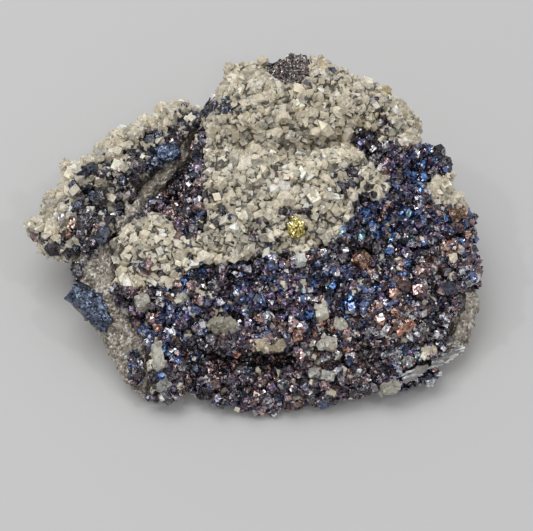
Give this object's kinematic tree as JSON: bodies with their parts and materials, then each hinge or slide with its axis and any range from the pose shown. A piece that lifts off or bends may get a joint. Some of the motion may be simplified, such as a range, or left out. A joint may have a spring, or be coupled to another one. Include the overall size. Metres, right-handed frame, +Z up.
{
  "type": "galena with dolomite mineral specimen",
  "caption": "Hand specimen of dark tarnished galena crystals with cream dolomite druse on a tan host rock, with a small brassy chalcopyrite cluster, lying on its flat underside.",
  "frame": {"origin": "centre of the bounding box at its bottom, on the flat spot that the specimen rests on", "axes": "+Z up, +X along the specimen's length to the right as it is displayed, -Y towards the display side"},
  "size_m": [0.0848, 0.0616, 0.0325],
  "materials": {
    "host_rock": "broken sugary tan and grey dolostone, matt",
    "dolomite": "cream druse of small rhombs with a pearly gloss",
    "galena": "dark lead-grey metallic crystals with blue, violet and bronze tarnish",
    "chalcopyrite": "bright brassy metallic crystals",
    "calcite": "white fibrous vein"
  },
  "bodies": {
    "root": {"host_rock": "host_rock", "galena_patch_top": "galena", "dolomite_crust_main": "dolomite", "dolomite_crust_right": "dolomite", "dolomite_crust_wing": "dolomite", "galena_crust_wing": "galena", "galena_crust_flank": "galena", "galena_crust_main": "galena", "dolomite_crystal_hexagonal": "dolomite", "dolomite_crystal_small_left": "dolomite", "dolomite_crystal_lobe_foot": "dolomite", "dolomite_crystal_tan": "dolomite", "dolomite_crystal_brown": "dolomite", "dolomite_crystal_left_foot": "dolomite", "dolomite_crystal_grey_left": "dolomite", "dolomite_crystal_centre": "dolomite", "dolomite_crystal_centre_low": "dolomite", "dolomite_crystal_pale_low": "dolomite", "dolomite_crystal_block_1": "dolomite", "dolomite_crystal_block_2": "dolomite", "dolomite_crystal_right_foot": "dolomite", "dolomite_crystal_blue_edge": "dolomite", "galena_crystal_corner": "galena", "galena_crystal_wing_blue": "galena", "galena_crystal_wing_oval": "galena", "galena_crystal_wing_low": "galena", "galena_crystal_edge_upper": "galena", "galena_crystal_edge_lower": "galena", "galena_crystal_orange": "galena", "galena_crystal_brown": "galena", "galena_crystal_right_edge": "galena", "chalcopyrite_cluster": "chalcopyrite", "calcite_sliver": "calcite"}
  },
  "joints": []
}
